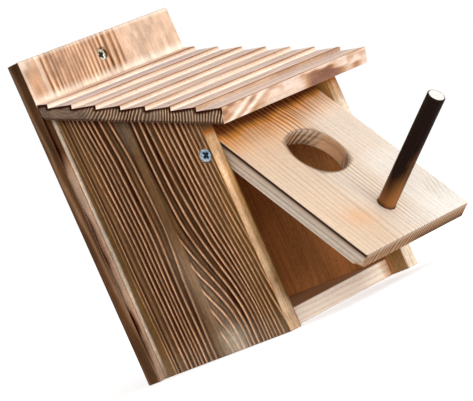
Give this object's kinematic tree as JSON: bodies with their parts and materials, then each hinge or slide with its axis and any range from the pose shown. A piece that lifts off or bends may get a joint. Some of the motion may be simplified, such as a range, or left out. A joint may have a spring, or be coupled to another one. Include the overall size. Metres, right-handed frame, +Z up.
{
  "type": "bird nest box",
  "caption": "Wooden bird nest box with a sloping stepped roof, a round entrance hole, a perch, and a front panel that swings up on two screws for cleaning.",
  "frame": {"origin": "middle of the floor board's underside, in the plane that the box stands on", "axes": "+Z up, +Y towards the wall or tree behind the back board, the entrance faces -Y"},
  "size_m": [0.13, 0.21, 0.188],
  "materials": {
    "peach_pine": "lightly scorched pine, satin",
    "charred_pine": "scorched and brushed pine, matt",
    "roof_pine": "pale pine with a light scorch, matt",
    "pale_pine": "planed pale pine, scorched at the top, matt",
    "dark_dowel": "dark stained dowel, satin",
    "bright_zinc": "bright zinc plated",
    "nail_steel": "dull steel wire"
  },
  "bodies": {
    "box": {"back_board": "peach_pine", "back_nail_floor_1": "nail_steel", "back_nail_floor_2": "nail_steel", "back_nail_left_1": "nail_steel", "back_nail_left_2": "nail_steel", "back_nail_left_3": "nail_steel", "back_nail_right_1": "nail_steel", "back_nail_right_2": "nail_steel", "back_nail_right_3": "nail_steel", "floor_board": "pale_pine", "floor_nail_left_1": "nail_steel", "floor_nail_left_2": "nail_steel", "floor_nail_right_1": "nail_steel", "floor_nail_right_2": "nail_steel", "hanging_screw": "bright_zinc", "left_side": "charred_pine", "right_side": "charred_pine", "roof_board": "roof_pine", "roof_nail_left_1": "nail_steel", "roof_nail_left_2": "nail_steel", "roof_nail_left_3": "nail_steel", "roof_nail_right_1": "nail_steel", "roof_nail_right_2": "nail_steel", "roof_nail_right_3": "nail_steel"},
    "front": {"front_panel": "pale_pine", "perch_dowel": "dark_dowel", "pivot_screw_left": "bright_zinc", "pivot_screw_right": "bright_zinc"}
  },
  "joints": [
    {"name": "front_swing", "type": "hinge", "parent": "box", "child": "front", "pos_m": [0, -0.04885, 0.10121], "axis": [-1, 0, 0], "range_deg": [-35.4, 59.6]}
  ]
}
